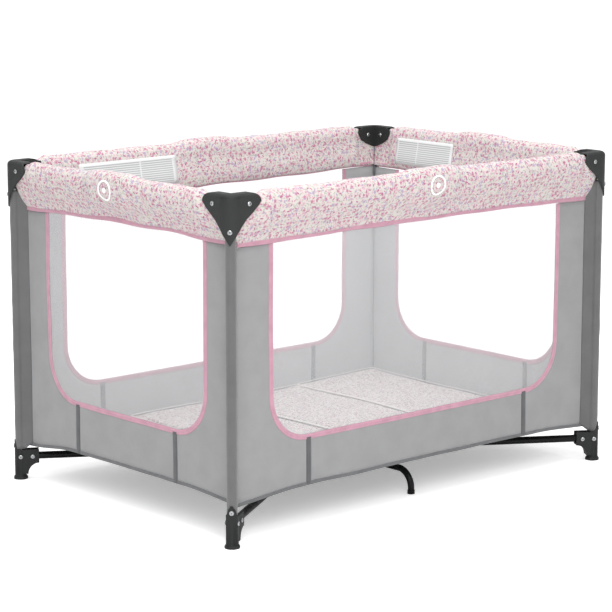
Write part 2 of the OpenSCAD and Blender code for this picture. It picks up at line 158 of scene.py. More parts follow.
def new_object(name, verts, faces, material, pattern=None):
    """An object from any array of points, with the cloth's own coordinates in pattern."""
    mesh = bpy.data.meshes.new(name)
    mesh.from_pydata([tuple(v) for v in np.reshape(verts, (-1, 3))], [], faces)
    mesh.update()
    if pattern is not None:
        attribute = mesh.attributes.new("pattern", "FLOAT_VECTOR", "POINT")
        attribute.data.foreach_set("vector", np.asarray(pattern, np.float32).ravel())
    work = bmesh.new()
    work.from_mesh(mesh)
    bmesh.ops.recalc_face_normals(work, faces=work.faces)
    work.to_mesh(mesh)
    work.free()
    for polygon in mesh.polygons:
        polygon.use_smooth = True
    mesh.materials.append(material)
    return link(bpy.data.objects.new(name, mesh))


def grid_faces(rows, columns, wrap=False):
    """Quads between rows of points; wrap joins the last column to the first."""
    faces = []
    last = columns if wrap else columns - 1
    for r in range(rows - 1):
        for c in range(last):
            n = (c + 1) % columns
            faces.append((r * columns + c, r * columns + n,
                          (r + 1) * columns + n, (r + 1) * columns + c))
    return faces


def tube_faces(rings, steps):
    """The wall and the two end caps of a tube."""
    faces = grid_faces(rings, steps, wrap=True)
    faces.append(tuple(range(steps)))
    faces.append(tuple((rings - 1) * steps + i for i in reversed(range(steps))))
    return faces


def squarer(value, power):
    """A sine or cosine that stays near 1 for longer as power falls below 1."""
    return np.sign(value) * np.abs(value) ** power


def thicken(piece, thickness):
    solid = piece.modifiers.new("thickness", "SOLIDIFY")
    solid.thickness = thickness
    solid.offset = 0
    return solid


def sheet(name, points, material, pattern, thickness):
    """A cloth sheet through rows of points."""
    rows, columns = points.shape[:2]
    piece = new_object(name, points, grid_faces(rows, columns), material, pattern)
    thicken(piece, thickness)
    return piece


def ribbon(name, where, path, width, thickness, material):
    """A flat band along a path of (s, z) points on a side, its width in the side's plane."""
    path = np.asarray(path, float)
    tangent = np.gradient(path, axis=0)
    tangent /= np.linalg.norm(tangent, axis=1)[:, None]
    across = np.stack([-tangent[:, 1], tangent[:, 0]], 1)
    run = np.concatenate([[0], np.cumsum(np.linalg.norm(np.diff(path, axis=0), axis=1))])
    steps = 12
    turn = np.linspace(0, math.tau, steps, endpoint=False)
    flat = squarer(np.cos(turn), RIBBON_FLAT) * width / 2
    deep = squarer(np.sin(turn), RIBBON_DEEP) * thickness / 2
    s = path[:, 0, None] + across[:, 0, None] * flat
    z = path[:, 1, None] + across[:, 1, None] * flat
    base = WALL_D + slack(where, path[:, 0], path[:, 1])
    points = on_side(where, s, base[:, None] + deep, z)
    pattern = np.stack([np.broadcast_to(run[:, None], s.shape),
                        np.broadcast_to(flat, s.shape), np.zeros(s.shape)], -1)
    return new_object(name, points, tube_faces(len(path), steps), material, pattern)


def subdivide(piece):
    modifier = piece.modifiers.new("smooth", "SUBSURF")
    modifier.levels = modifier.render_levels = 1


# ---- Materials ----


def rgb(code):
    """Linear colour from an sRGB hex code."""
    values = [int(code[i:i + 2], 16) / 255 for i in (0, 2, 4)]
    linear = [v / 12.92 if v <= 0.04045 else ((v + 0.055) / 1.055) ** 2.4 for v in values]
    return (*linear, 1.0)


def tinted(colour, share, lift=0.0):
    """The colour made darker or lighter."""
    return tuple(min(1.0, c * share + lift) for c in colour[:3]) + (1.0,)


class Graph:
    """A material and short calls for its nodes."""

    def __init__(self, name):
        self.material = bpy.data.materials.new(name)
        self.material.use_nodes = True
        self.tree = self.material.node_tree
        self.tree.nodes.clear()

    def add(self, kind, inputs=None, **settings):
        node = self.tree.nodes.new(kind)
        for key, value in settings.items():
            setattr(node, key, value)
        for key, value in (inputs or {}).items():
            self.plug(node.inputs[key], value)
        return node

    def plug(self, socket, value):
        if isinstance(value, bpy.types.NodeSocket):
            self.tree.links.new(value, socket)
        else:
            socket.default_value = value

    def operate(self, kind, operation, values):
        node = self.add(kind, operation=operation)
        for socket, value in zip(node.inputs, values):
            self.plug(socket, value)
        return node.outputs

    def math(self, operation, *values):
        return self.operate("ShaderNodeMath", operation, values)[0]

    def vector(self, operation, *values):
        outputs = self.operate("ShaderNodeVectorMath", operation, values)
        return outputs["Value" if operation == "LENGTH" else "Vector"]

    def scale(self, vector, factor):
        inputs = {"Vector": vector, "Scale": factor}
        return self.add("ShaderNodeVectorMath", inputs, operation="SCALE").outputs["Vector"]

    def mix(self, factor, a, b, blend="MIX"):
        node = self.add("ShaderNodeMix", data_type="RGBA", blend_type=blend)
        self.plug(node.inputs[0], factor)
        self.plug(node.inputs[6], a)
        self.plug(node.inputs[7], b)
        return node.outputs[2]

    def between(self, value, low, high, to_low=0.0, to_high=1.0):
        node = self.add("ShaderNodeMapRange", {
            "Value": value, "From Min": low, "From Max": high,
            "To Min": to_low, "To Max": to_high}, interpolation_type="SMOOTHSTEP")
        return node.outputs["Result"]

    def noise(self, coords, size, detail=3.0):
        node = self.add("ShaderNodeTexNoise", {
            "Vector": coords, "Scale": 1 / size, "Detail": detail, "Roughness": 0.55})
        return node.outputs["Fac"]

    def pattern(self):
        return self.add("ShaderNodeAttribute", attribute_name="pattern").outputs["Vector"]

    def place(self):
        return self.add("ShaderNodeTexCoord").outputs["Object"]

    def bump(self, height, distance, strength, normal=None):
        inputs = {"Height": height, "Distance": distance, "Strength": strength}
        if normal is not None:
            inputs["Normal"] = normal
        return self.add("ShaderNodeBump", inputs).outputs["Normal"]

    def parts(self, vector):
        return self.add("ShaderNodeSeparateXYZ", {"Vector": vector}).outputs

    def finish(self, shader):
        self.add("ShaderNodeOutputMaterial", {"Surface": shader})
        return self.material

    def principled(self, colour, roughness, normal, more=None):
        """Ends the material in a Principled BSDF, with its other inputs in more."""
        inputs = {"Base Color": colour, "Roughness": roughness, "Normal": normal}
        surface = self.add("ShaderNodeBsdfPrincipled", inputs | (more or {}))
        return self.finish(surface.outputs["BSDF"])


def weave(g, coords, thread):
    """Height of a plain weave, from threads along both directions of the cloth."""
    parts = g.parts(g.scale(coords, math.pi / thread))
    over = g.math("MULTIPLY", g.math("SINE", parts["X"]), g.math("SINE", parts["Y"]))
    return g.math("ABSOLUTE", over)


def cloth(name, colour, thread=0.9 * MM, roughness=0.85, sheen=0.25, depth=0.12, shade=0.9):
    """Woven cloth: threads, an uneven dye and soft creases."""
    g = Graph(name)
    coords = g.pattern()
    threads = weave(g, coords, thread)
    patches = g.noise(coords, 60 * MM)
    darker = tinted(colour, shade)
    dyed = g.mix(g.between(patches, 0.3, 0.7), colour, darker)
    flecked = g.mix(g.math("MULTIPLY", g.noise(coords, 1.6 * MM), 0.25), dyed, darker)
    creases = g.bump(g.noise(coords, 22 * MM, 2.0), 1.2 * MM, 0.35)
    normal = g.bump(threads, depth * MM, 0.6, creases)
    sheens = {"Sheen Weight": sheen, "Sheen Roughness": 0.5}
    return g.principled(flecked, roughness, normal, sheens)


def binding(name, colour):
    """A sewn binding tape: ribs across it and a row of stitches near each edge."""
    g = Graph(name)
    coords = g.pattern()
    parts = g.parts(coords)
    run, across = parts["X"], g.math("ABSOLUTE", parts["Y"])
    dash = g.math("LESS_THAN", g.math("FRACT", g.math("DIVIDE", run, 3.4 * MM)), 0.62)
    line = g.between(g.math("ABSOLUTE", g.math("SUBTRACT", across, 2.9 * MM)), 0.5 * MM, 0.2 * MM)
    stitch = g.math("MULTIPLY", dash, line)
    dye = g.between(g.noise(coords, 30 * MM), 0.3, 0.7)
    patches = g.mix(dye, colour, tinted(colour, 0.82))
    colours = g.mix(stitch, patches, tinted(colour, 1.15))
    ribs = g.math("SINE", g.math("MULTIPLY", run, math.tau / (1.1 * MM)))
    height = g.math("ADD", g.math("MULTIPLY", ribs, 0.15), stitch)
    return g.principled(colours, 0.7, g.bump(height, 0.3 * MM, 0.6), {"Sheen Weight": 0.2})


def scattered(g, coords, cell, shift):
    """One place in each cell: the offset from it, turned at random, and two random values."""
    moved = g.vector("ADD", g.scale(coords, 1 / cell), (shift, shift * 1.7, 0.0))
    cells = g.add("ShaderNodeTexVoronoi", {"Vector": moved, "Scale": 1.0, "Randomness": 0.85},
                  voronoi_dimensions="2D")
    offset = g.scale(g.vector("SUBTRACT", moved, cells.outputs["Position"]), cell)
    chance = g.add("ShaderNodeSeparateColor", {"Color": cells.outputs["Color"]})
    turned = g.add("ShaderNodeVectorRotate", {
        "Vector": offset, "Angle": g.math("MULTIPLY", chance.outputs[0], math.tau)},
        rotation_type="Z_AXIS").outputs["Vector"]
    return turned, chance.outputs[1], chance.outputs[2]


def kept(g, mask, chance, share):
    return g.math("MULTIPLY", mask, g.math("LESS_THAN", chance, share))


def leaves(g, coords, cell, shift, length, width, share):
    """Oval leaves or petals, each turned its own way."""
    offset, chance, pick = scattered(g, coords, cell, shift)
    stretched = g.vector("MULTIPLY", offset, (1 / length, 1 / width, 0.0))
    mask = g.between(g.vector("LENGTH", stretched), 1.12, 0.8)
    return kept(g, mask, chance, share), pick


def flowers(g, coords, cell, shift, radius, share):
    """Five petals round each place."""
    offset, chance, pick = scattered(g, coords, cell, shift)
    parts = g.parts(offset)
    angle = g.math("ARCTAN2", parts["Y"], parts["X"])
    lobes = g.math("COSINE", g.math("MULTIPLY", angle, 5.0))
    reach = g.math("MULTIPLY_ADD", lobes, radius * 0.3, radius * 0.7)
    mask = g.between(g.math("DIVIDE", g.vector("LENGTH", offset), reach), 1.1, 0.85)
    return kept(g, mask, chance, share), pick


def picked(g, value, colours):
    """One of several colours by a random value."""
    node = g.add("ShaderNodeValToRGB", {"Fac": value})
    ramp = node.color_ramp
    ramp.interpolation = "CONSTANT"
    while len(ramp.elements) < len(colours):
        ramp.elements.new(0.5)
    for i, colour in enumerate(colours):
        ramp.elements[i].position = i / len(colours)
        ramp.elements[i].color = colour
    return node.outputs["Color"]


def inked(colour, ink):
    return tuple(c**ink for c in colour[:3]) + (1.0,)


def floral(name, shade=1.0, ink=1.0, size=1.0):
    """Off-white cotton printed with small roses, buds and leaves. shade darkens the whole as
    painted shade, and ink the print alone."""
    g = Graph(name)
    coords = g.scale(g.pattern(), 1 / size)
    ground = g.mix(g.noise(coords, 25 * MM), rgb("CBC5BF"), rgb("BEB8B4"))
    rose, deep, blush = rgb("B0728B"), rgb("A05E80"), rgb("C198A6")
    mauve, slate, sage = rgb("A08FAA"), rgb("999CAD"), rgb("A2A59B")
    layers = [
        (leaves(g, coords, 8.0 * MM, 3.1, 3.4 * MM, 1.3 * MM, 0.75), [slate, sage, blush, sage]),
        (leaves(g, coords, 6.0 * MM, 11.7, 2.5 * MM, 1.2 * MM, 0.7), [blush, rose, blush, sage]),
        (flowers(g, coords, 14.5 * MM, 5.3, 4.6 * MM, 0.8), [rose, blush, rose, mauve]),
        (leaves(g, coords, 10.5 * MM, 7.9, 3.6 * MM, 1.5 * MM, 0.6), [rose, deep, mauve, deep]),
    ]
    colour = ground
    for (mask, pick), palette in layers:
        colour = g.mix(mask, colour, picked(g, pick, [inked(c, ink) for c in palette]))
    # Painted shade: a shade below 1 darkens the whole cloth, for a copy that lies in shade.
    colour = g.mix(1.0, colour, (shade, shade, shade, 1.0), "MULTIPLY")
    creases = g.bump(g.noise(coords, 18 * MM, 2.0), 1.5 * MM, 0.4)
    normal = g.bump(weave(g, coords, 0.7 * MM), 0.1 * MM, 0.5, creases)
    return g.principled(colour, 0.88, normal, {"Sheen Weight": 0.2})


def netting(name):
    """White knitted mesh: fine threads round small open cells."""
    g = Graph(name)
    coords = g.scale(g.pattern(), 1 / (1.7 * MM))
    cells = g.add("ShaderNodeTexVoronoi", {"Vector": coords, "Scale": 1.0, "Randomness": 0.12},
                  voronoi_dimensions="2D", feature="DISTANCE_TO_EDGE")
    cover = g.between(cells.outputs["Distance"], 0.2, 0.1, 0.16, 0.62)
    threads = g.add("ShaderNodeBsdfDiffuse", {"Color": rgb("F0F2F4")})
    glow = g.add("ShaderNodeBsdfTranslucent", {"Color": rgb("F0F2F4")})
    both = g.add("ShaderNodeMixShader", {0: 0.45, 1: threads.outputs[0], 2: glow.outputs[0]})
    clear = g.add("ShaderNodeBsdfTransparent")
    seen = g.add("ShaderNodeMixShader", {0: cover, 1: clear.outputs[0], 2: both.outputs[0]})
    return g.finish(seen.outputs[0])


def moulded(name, colour, roughness=0.5, grain=0.35 * MM):
    """Moulded plastic: a fine grain, a painted highlight along its sharp edges and slightly uneven
    gloss.
    """
    g = Graph(name)
    coords = g.place()
    # Painted highlight: the colour grows lighter along sharp convex edges, found by their
    # pointiness.
    edge_highlight = g.between(g.add("ShaderNodeNewGeometry").outputs["Pointiness"], 0.5, 0.56)
    cloudy = g.between(g.noise(coords, 30 * MM), 0.35, 0.65)
    body = g.mix(cloudy, colour, tinted(colour, 0.85))
    shade = g.mix(g.math("MULTIPLY", edge_highlight, 0.5), body, tinted(colour, 1.5, 0.012))
    gloss = g.between(g.noise(coords, 12 * MM), 0.3, 0.7, roughness - 0.06, roughness + 0.08)
    edge = g.add("ShaderNodeBevel", {"Radius": 0.9 * MM}, samples=4).outputs["Normal"]
    normal = g.bump(g.noise(coords, grain, 2.0), 0.08 * MM, 0.35, edge)
    return g.principled(shade, gloss, normal, {"Specular IOR Level": 0.25})


def metal(name, colour, roughness, metallic=1.0, shine=0.4):
    """Metal, or with metallic 0 its paint, with a fine grain, faint smudges and painted shade in
    its hollows.
    """
    g = Graph(name)
    coords = g.place()
    smudge = g.between(g.noise(coords, 25 * MM), 0.3, 0.7, roughness * 0.8, roughness * 1.3)
    clean = g.mix(g.noise(coords, 6 * MM), colour, tinted(colour, 0.8))
    # Painted shade: where ambient occlusion finds a hollow, such as a rivet's dimple, the colour
    # turns near black.
    openness = g.add("ShaderNodeAmbientOcclusion", {"Distance": 3 * MM}, samples=4).outputs["AO"]
    shade = g.mix(g.between(openness, 0.7, 0.35), clean, (0.01, 0.01, 0.01, 1.0))
    edge = g.add("ShaderNodeBevel", {"Radius": 0.5 * MM}, samples=4).outputs["Normal"]
    normal = g.bump(g.noise(coords, 0.4 * MM, 2.0), 0.02 * MM, 0.4, edge)
    return g.principled(shade, smudge, normal, {"Metallic": metallic, "Specular IOR Level": shine})


def label_print(name, width, height):
    """A white sewn label with rows of plain grey bars and a blank margin."""
    g = Graph(name)
    coords = g.pattern()
    parts = g.parts(coords)
    x, y = parts["X"], parts["Y"]
    row = g.math("FRACT", g.math("DIVIDE", y, height / 13))
    bars = g.between(row, 0.42, 0.5)
    inside = g.math("MULTIPLY",
                    g.between(g.math("ABSOLUTE", x), width * 0.46, width * 0.45),
                    g.between(g.math("ABSOLUTE", y), height * 0.42, height * 0.41))
    gap = g.between(g.math("ABSOLUTE", g.math("SUBTRACT", x, width * 0.12)), 0.5 * MM, 3 * MM)
    marks = g.math("MULTIPLY", g.math("MULTIPLY", bars, inside), gap)
    colour = g.mix(g.math("MULTIPLY", marks, 0.6), rgb("D2D3D3"), rgb("7D8284"))
    return g.principled(colour, 0.6, g.bump(weave(g, coords, 0.5 * MM), 0.06 * MM, 0.5))


GREY = cloth("grey_fabric", rgb("8D8D8E"))
DARK_GREY = cloth("dark_grey_fabric", rgb("5C5C5D"), thread=0.7 * MM, roughness=0.5, shade=0.85)
HEM = binding("hem_tape", rgb("606163"))
TAPE = binding("floor_tape", rgb("525355"))
PINK = binding("pink_tape", rgb("BA8A9B"))
FLORAL = floral("floral_fabric")
# Painted shade: the band's floral cloth, darkened for the pad that lies in shade inside.
SHADED_MATTRESS = floral("mattress_fabric_painted_shade", 0.88, 1.7, 1.4)
CORD = cloth("mattress_cord", rgb("D2CAC7"), thread=0.6 * MM)
# Painted light: the walls' own grey cloth, made paler, for their inner faces, which are lit
# brighter.
LIT_GREY_INSIDE = cloth("grey_inside_painted_light", rgb("A0A1A2"))
NET = netting("white_mesh")
WHITE = cloth("white_print", rgb("F4F4F4"), thread=0.5 * MM, sheen=0.0)

CAD_LOOKS = {
    "leg_tube": metal("tube_steel", rgb("8C8F92"), 0.35),
    "rail": metal("rail_steel", rgb("7D8083"), 0.38),
    "floor_tube": metal("floor_tube_paint", rgb("0A0B0B"), 0.3, 0.0, 0.2),
    "leg_rivets": metal("rivet", rgb("B9BBBD"), 0.3),
    "corner_shield": moulded("shield_plastic", rgb("202221"), 0.55),
    "corner_cover": moulded("cover_plastic", rgb("1E201F"), 0.55),
    "foot": moulded("foot_plastic", rgb("181919"), 0.55),
    "latch_button": moulded("button_plastic", rgb("B9342F"), 0.4),
    "latch": moulded("latch_plastic", rgb("3C3E40"), 0.5),
    "hub": moulded("hub_plastic", rgb("191A1B"), 0.5),
}
CAD_LOOKS["support_leg"] = CAD_LOOKS["floor_tube"]


def dress_cad():
    """Gives each CAD node that stays in sight the look of its kind."""
    for node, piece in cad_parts.items():
        kind = next((k for k in sorted(CAD_LOOKS, key=len, reverse=True)
                     if node.startswith(k)), None)
        if kind is None:
            continue
        piece.data.materials.clear()
        piece.data.materials.append(CAD_LOOKS[kind])
        for polygon in piece.data.polygons:
            polygon.use_smooth = True
        split = piece.modifiers.new("sharp_edges", "EDGE_SPLIT")
        split.split_angle = math.radians(28)


# ---- Fabric sides ----

HEM_W = 7.5 * MM
HEM_T = 3.4 * MM
BIND_W = 11.5 * MM
BIND_T = 3.2 * MM
CLOTH_T = 1.2 * MM
TRIM_W = 11 * MM
TRIM_T = 6 * MM
TRIM_SHOWS = 2 * MM
INNER_LAP = 2 * MM
# How far the lower edge of each rail cover is drawn up: at its two ends and, more, midway.
TRIM_SHAPE = {
    "front": (0, 5 * MM, 0),
    "back": (4 * MM, 0, 15 * MM),
    "left": (6 * MM, 6 * MM, 3 * MM),
    "right": (3 * MM, 0, 12 * MM),
}
DRAWN_FROM = COVER_Z - 120 * MM
TAPE_IN = 94 * MM
# Height of each side's hem above the frame's, and how far it dips at its two ends.
HEM_SHAPE = {
    "front": (-2.5 * MM, 14 * MM, 10 * MM),
    "back": (-2.5 * MM, 12 * MM, 12 * MM),
    "left": (0.5 * MM, 8 * MM, 15 * MM),
    "right": (-1.5 * MM, 10 * MM, 12 * MM),
}
TAPE_W = 13 * MM
TAPE_T = 5 * MM
CORNER_STEPS = 14


def slack(where, s, z):
    """How far the cloth of a side strays from its plane."""
    seed = 11 + where.seed
    loose = waves(s, z, seed, 260 * MM, 1.1 * MM) + waves(s, z * 0.4, seed + 1, 90 * MM, 0.35 * MM)
    held = smooth_step(where.half - np.abs(s), WALL_FROM_LEG, WALL_FROM_LEG + 60 * MM)
    return loose * (0.25 + 0.75 * held)


def hem_height(where, s):
    """Lower edge of a side: it dips towards the legs, by its own amount at each end."""
    level, first, last = HEM_SHAPE[where.name]
    near = 1 - smooth_step(where.half - np.abs(s), 0, 190 * MM)
    ripple = waves(s, 0 * s, 31, 200 * MM, 0.8 * MM)
    return HEM_Z + level - near * np.where(s < 0, first, last) + ripple


def cover_lift(where, s):
    """How far the lower edge of a rail cover is drawn up."""
    first, middle, last = TRIM_SHAPE[where.name]
    share = s / where.half
    return first * (1 - share) / 2 + last * (1 + share) / 2 + middle * (1 - share**2)


def drawn_up(where, s, z):
    """Height of a point of a side, whose top edge follows the rail cover."""
    return z + cover_lift(where, s) * smooth_step(z, DRAWN_FROM, COVER_Z)


def trim_height(where, s):
    """Centre line of the pink trim along the lower edge of a rail cover."""
    ripple = waves(s, 0 * s, 37 + where.seed, 150 * MM, 1.3 * MM)
    return COVER_Z + TRIM_W / 2 + cover_lift(where, s) + ripple


def there_and_back(down, corner, reach, low, steps):
    """Down one side, round its lower corner, along the bottom and up the other side."""
    floor = np.linspace(-reach, reach, 2 * steps + 2)[1:-1]
    bottom = np.stack([floor, np.full(len(floor), low)], 1)
    return np.concatenate([down, corner, bottom, corner[::-1] * (-1, 1), down[::-1] * (-1, 1)])


def window_path(where, offset, steps):
    """The edge of a side's window, moved outwards by offset."""
    half = where.window + offset
    low = where.low - offset
    r = WINDOW_R + offset
    turn = np.linspace(0, math.pi / 2, CORNER_STEPS)
    corner = np.stack([-half + r - r * np.cos(turn), low + r - r * np.sin(turn)], 1)
    heights = np.linspace(COVER_Z, low + r, steps, endpoint=False)
    down = np.stack([np.full(steps, -half), heights], 1)
    return there_and_back(down, corner, half - r, low, steps)


def wall_outline(where, steps):
    """The panel's edge, point for point with window_path. Walls meet at the corners."""
    half = where.half - WALL_D
    heights = np.linspace(COVER_Z, HEM_Z + WINDOW_R, steps, endpoint=False)
    down = np.stack([np.full(steps, -half), heights], 1)
    turn = np.linspace(0, 2, CORNER_STEPS)
    corner = np.stack([-half + np.clip(turn - 1, 0, 1) * WINDOW_R,
                       HEM_Z + WINDOW_R * (1 - np.clip(turn, 0, 1))], 1)
    path = there_and_back(down, corner, half - WINDOW_R, HEM_Z, steps)
    low = path[:, 1] < HEM_Z + WINDOW_R
    lift = np.where(low, 1 - (path[:, 1] - HEM_Z) / WINDOW_R, 0)
    path[:, 1] += lift * (hem_height(where, path[:, 0]) - HEM_Z)
    return path


def shrink_with_side(piece, where):
    """Rides on the side's first leg, with a mesh of its own."""
    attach(piece, where.leg)
    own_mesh(piece)


def paint_inside_lighter(piece):
    """Gives the inner face of a side a paler grey: painted light for its brighter lit inside."""
    piece.data.materials.append(LIT_GREY_INSIDE)
    solid = next(m for m in piece.modifiers if m.type == "SOLIDIFY")
    solid.material_offset = 1


def make_wall(where):
    inner = window_path(where, 0, 26)
    outer = wall_outline(where, 26)
    share = np.linspace(0, 1, 9)[:, None, None]
    flat = inner[None] * (1 - share) + outer[None] * share
    s, z = flat[..., 0], drawn_up(where, flat[..., 0], flat[..., 1])
    points = on_side(where, s, WALL_D + slack(where, s, z), z)
    pattern = np.stack([s, z, 0 * s], -1)
    piece = sheet("wall_" + where.name, points, GREY, pattern, CLOTH_T)
    paint_inside_lighter(piece)
    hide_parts("side_" + where.name)
    return piece


def make_net(where):
    half = where.window + BIND_W * 0.3
    low = where.low - BIND_W * 0.3
    r = WINDOW_R
    z = np.linspace(low, COVER_Z, 44)
    short = np.where(z < low + r, r - np.sqrt(np.maximum(0, r**2 - (low + r - z) ** 2)), 0)
    across = np.linspace(-1, 1, 61)
    s = across[None] * (half - short)[:, None]
    zz = drawn_up(where, s, np.broadcast_to(z[:, None], s.shape))
    drift = slack(where, s, zz) + waves(s, zz, 41, 130 * MM, 0.5 * MM)
    points = on_side(where, s, WALL_D + 0.4 * MM + drift, zz)
    pattern = np.stack([s, zz, 0 * s], -1)
    piece = new_object("net_" + where.name, points, grid_faces(*s.shape), NET, pattern)
    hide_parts("mesh_" + where.name)
    return piece


def make_bindings(where):
    name = where.name
    edge = window_path(where, BIND_W / 2, 40)
    edge[:, 1] = drawn_up(where, edge[:, 0], edge[:, 1])
    rim = ribbon("window_binding_" + name, where, edge, BIND_W, BIND_T, PINK)
    s = np.linspace(-1, 1, 121) * (where.half - WALL_D)
    hem = ribbon("hem_binding_" + name, where,
                 np.stack([s, hem_height(where, s) + HEM_W * 0.35], 1), HEM_W, HEM_T, HEM)
    strips = []
    for end, sign in (("a", -1), ("b", 1)):
        at = sign * (where.window - TAPE_IN)
        z = np.linspace(HEM_Z, where.low - BIND_W * 0.6, 16)
        tape = ribbon(f"floor_tape_{name}_{end}", where,
                      np.stack([np.full(len(z), at), z], 1), TAPE_W, TAPE_T, TAPE)
        strips.append(tape)
    return [rim, hem] + strips


# ---- Rail covers ----

ROLL_W = 18.8 * MM
ROLL_UP = 23 * MM
ROLL_DOWN = 17 * MM
ROLL_D = -4.6 * MM
BULGE_FROM = 95 * MM
BULGE_FULL = 45 * MM
TUCK_W = 11.6 * MM
TUCK_UP = 16.4 * MM
ROLL_END = SHIELD_LEN - 6 * MM
ROLL_STEP = 5 * MM
ROLL_FULL = SHIELD_LEN + 20 * MM
BEND_FROM = 60 * MM
BEND_TO = 24 * MM
SKIRT_T = 1.0 * MM
# How much the roll grows over the latch: outwards, in half width, upwards and downwards.
BULGE_OUT = 2.6 * MM
BULGE_W = 3.6 * MM
BULGE_UP = 6 * MM
BULGE_DOWN = 12 * MM
# The section's power for its sides, how much that drops over the latch, and the same for its
# top and bottom there.
ROLL_ROUND = 0.92
ROUND_LOSS = 0.27
SQUARE = 0.15
# The print is laid round the roll at this radius.
PRINT_R = ROLL_W * 1.12
# A skirt starts under the roll's skin at SKIRT_HIDDEN, follows it for the share ON_ROLL of its
# rows, and then hangs to the trim in a free curve. The curve's handles are shares of its drop,
# and near the corners the inner skirt's lower one is HELD_BACK.
SKIRT_ROWS = 26
SKIRT_HIDDEN = math.radians(14)
SKIRT_LEAVES = math.radians(48)
ON_ROLL = 0.25
UPPER_HANDLE = 0.38
UPPER_LEAN = 0.18
LOWER_HANDLE = 0.36
LOWER_STANDS_OFF = 0.13
HELD_BACK = 8 * MM
# An outer skirt stops this far short of the leg axis, and its ends are pulled in further below
# DRAWN_IN. END_POWER is how sharply the ends of a skirt turn. Its folds begin at FOLDS_FROM and
# are full at FOLDS_FULL. All three heights are above the cover's lower edge.
SKIRT_END = 17 * MM
END_PULL = 12 * MM
END_POWER = 40
DRAWN_IN = 26 * MM
FOLDS_FROM = 8 * MM
FOLDS_FULL = 30 * MM
# The press mark: inner and outer radius and steps of its ring and its dot, and its drop below
# the rail's axis.
PRESS_MARK = [(17.5 * MM, 21.5 * MM, 64), (0.6 * MM, 5.5 * MM, 32)]
MARK_DROP = 7 * MM
LABEL_LOW = COVER_Z + 27 * MM
LABEL_HIGH = RAIL_Z - 1 * MM


def clear_of_shield(where, s):
    """0 at the shields, 1 where the roll has its full size."""
    return smooth_step(where.half - np.abs(s), SHIELD_LEN - 1 * MM, ROLL_FULL)


def over_latch(s):
    """1 over the latch, 0 where the roll has its plain section."""
    return 1 - smooth_step(np.abs(s), BULGE_FULL, BULGE_FROM)


def roll_section(where, s):
    """Centre, half width, height above and below of the padded roll, and how far it has
    swollen over the latch, as arrays over s."""
    bulge = over_latch(s)
    full = clear_of_shield(where, s)
    lumps = waves(s, 0 * s, 51 + where.seed, 120 * MM, 0.7 * MM)
    grown = (ROLL_D - BULGE_OUT * bulge,
             ROLL_W + BULGE_W * bulge + lumps * 0.5 * (1 - bulge),
             ROLL_UP + BULGE_UP * bulge + lumps,
             ROLL_DOWN + BULGE_DOWN * bulge)
    tucked = RAIL_D, TUCK_W, TUCK_UP, TUCK_UP
    return *(t * (1 - full) + g * full for t, g in zip(tucked, grown)), bulge


def roll_point(section, turn):
    """(d, z) on the roll at a turn: 0 faces outwards, a quarter turn is the top."""
    centre, width, up, down, bulge = section
    across, over = np.cos(turn), np.sin(turn)
    rise = np.where(over > 0, up, down)
    d = centre - width * squarer(across, ROLL_ROUND - ROUND_LOSS * bulge)
    return d, RAIL_Z + rise * squarer(over, 1 - SQUARE * bulge)


def creases(where, s, t):
    """Small folds of the cover cloth, stronger near the shields."""
    seed = 61 + where.seed
    near = 1 - smooth_step(where.half - np.abs(s), SHIELD_LEN, SHIELD_LEN + 90 * MM)
    fine = waves(s, t * 0.35, seed, 34 * MM, 0.35 * MM)
    broad = waves(s, t * 0.6, seed + 1, 80 * MM, 0.5 * MM)
    return (fine * (0.5 + near) + broad) * (1 - 0.7 * over_latch(s))


def roll_bore(where, ss, turn):
    """The roll's inner face: it clears the rail and, at the middle, the latch."""
    latch = 1 - smooth_step(np.abs(ss), LATCH_LEN + 1 * MM, LATCH_LEN + 12 * MM)
    bore = RAIL_R + 0.25 * MM
    square = 1 - 0.45 * latch
    d = RAIL_D - (bore + latch * 3.9 * MM) * squarer(np.cos(turn), square)
    z = RAIL_Z + (bore + latch * 8.5 * MM) * squarer(np.sin(turn), square)
    return on_side(where, ss, d, z)


def shell_faces(rings, steps):
    """A tube's outer and inner walls, and the rims that join them at its two ends."""
    faces = grid_faces(rings, steps, wrap=True)
    base = rings * steps
    faces += [tuple(base + i for i in reversed(f)) for f in faces]
    for row in (0, rings - 1):
        for c in range(steps):
            a, b = row * steps + c, row * steps + (c + 1) % steps
            faces.append((a, b, base + b, base + a))
    return faces


def make_roll(where, half_index):
    """One half of the padded roll over a rail, from the shield to the middle of the latch."""
    sign = (-1, 1)[half_index]
    reach = where.half - ROLL_END
    count = int(reach / ROLL_STEP)
    s = sign * np.linspace(0, reach, count)
    section = [v[:, None] for v in roll_section(where, s)]
    steps = 40
    turn = np.linspace(-0.5 * math.pi, 1.5 * math.pi, steps, endpoint=False)[None]
    d, z = roll_point(section, turn)
    t = turn * PRINT_R
    ss = np.broadcast_to(s[:, None], d.shape)
    fade = smooth_step(where.half - np.abs(ss), SHIELD_LEN, SHIELD_LEN + 12 * MM)
    push = creases(where, ss, t) * fade
    outer = on_side(where, ss, d - push * np.cos(turn), z + push * np.sin(turn))
    pattern = np.stack([ss, np.broadcast_to(t, ss.shape), 0 * ss], -1)
    name = f"rail_roll_{where.name}_{'ab'[half_index]}"
    piece = new_object(name, [outer, roll_bore(where, ss, turn)], shell_faces(count, steps),
                       FLORAL, [pattern, pattern])
    start, end = (on_side(where, np.array(sign * at), np.array(RAIL_D), np.array(RAIL_Z))
                  for at in (BEND_FROM, BEND_TO))
    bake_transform(piece)
    return piece


